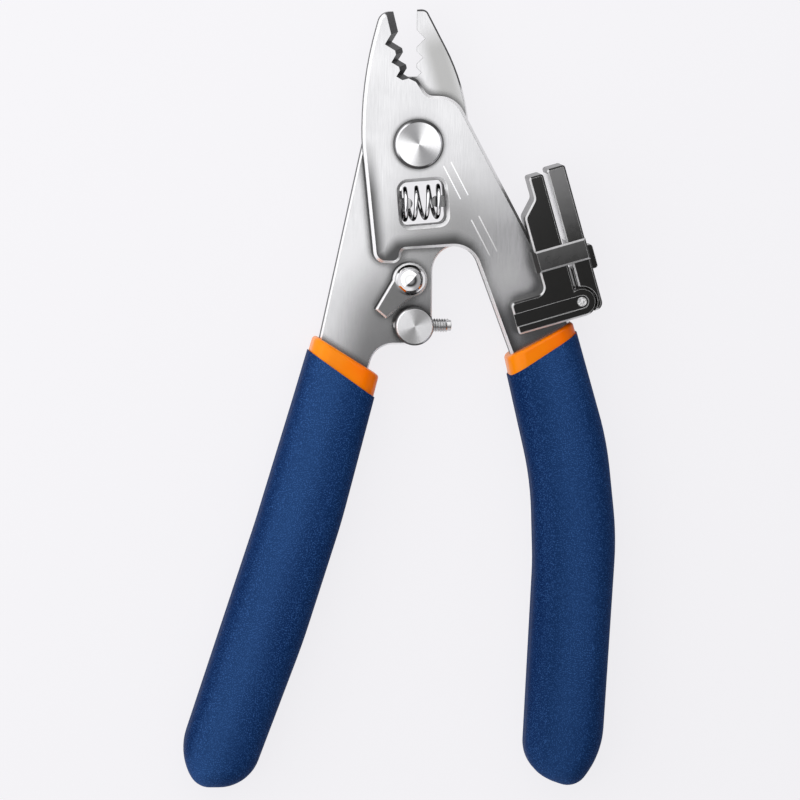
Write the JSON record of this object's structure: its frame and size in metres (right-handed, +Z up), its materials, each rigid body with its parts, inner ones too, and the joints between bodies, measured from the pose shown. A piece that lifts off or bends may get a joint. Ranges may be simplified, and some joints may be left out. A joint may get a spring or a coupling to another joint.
{
  "type": "fibre stripper",
  "caption": "Pliers-type optical fibre stripper: crossed steel levers with notched jaws, sprung open, lock lever, stop screw, sleeved grips and a hinged drop-cable slitter.",
  "frame": {"origin": "bottom centre of the part's box, on the surface it lies on", "axes": "+Y along the tool towards the jaws, +X to the slitter's side, +Z up out of the front side"},
  "size_m": [0.0924, 0.1666, 0.0148],
  "materials": {
    "frame_steel": "satin ground",
    "bright_steel": "spun turned",
    "chrome": "polished",
    "spring_steel": "bright drawn wire",
    "dark_steel": "dark face, bright chamfers",
    "blue_sleeve": "fine grained",
    "orange_layer": "glossy",
    "black_casting": "gloss black",
    "blade_steel": "polished strip"
  },
  "bodies": {
    "rear_lever": {"rear_frame": "frame_steel", "pivot_screw": "bright_steel", "pivot_nut": "bright_steel", "return_spring": "spring_steel", "lock_washer": "bright_steel", "lock_rivet": "chrome", "stop_post": "bright_steel", "left_grip_collar": "orange_layer", "left_grip_sleeve": "blue_sleeve"},
    "front_lever": {"front_frame": "frame_steel", "right_grip_collar": "orange_layer", "right_grip_sleeve": "blue_sleeve", "slitter_body": "black_casting", "blade_guard": "black_casting", "slitter_pin": "chrome", "slitter_fixed_blade": "blade_steel", "slitter_screws": "bright_steel"},
    "lock": {"lock_lever": "dark_steel"},
    "stop": {"stop_screw": "bright_steel"},
    "slitter_arm": {"slitter_jaw": "black_casting", "slitter_jaw_liner": "blade_steel", "slitter_jaw_blade": "blade_steel"}
  },
  "joints": [
    {"name": "handles_close", "type": "hinge", "parent": "rear_lever", "child": "front_lever", "pos_m": [0.00295, 0.05475, 0.0065], "axis": [0, 0, -1], "range_deg": [0, 14], "stiffness_Nm_per_rad": 1, "springref_deg": -11.46, "deforming": ["return_spring"]},
    {"name": "lock_swing", "type": "hinge", "parent": "rear_lever", "child": "lock", "pos_m": [0.00145, 0.02565, 0.0065], "axis": [0, 0, -1], "range_deg": [0, 55]},
    {"name": "stop_adjust", "type": "slide", "parent": "rear_lever", "child": "stop", "axis": [1, 0, 0], "range_m": [-0.0012, 0]},
    {"name": "slitter_open", "type": "hinge", "parent": "front_lever", "child": "slitter_arm", "pos_m": [0.03794, 0.02135, 0.0065], "axis": [0, 0, -1], "range_deg": [-1.2, 45]}
  ]
}
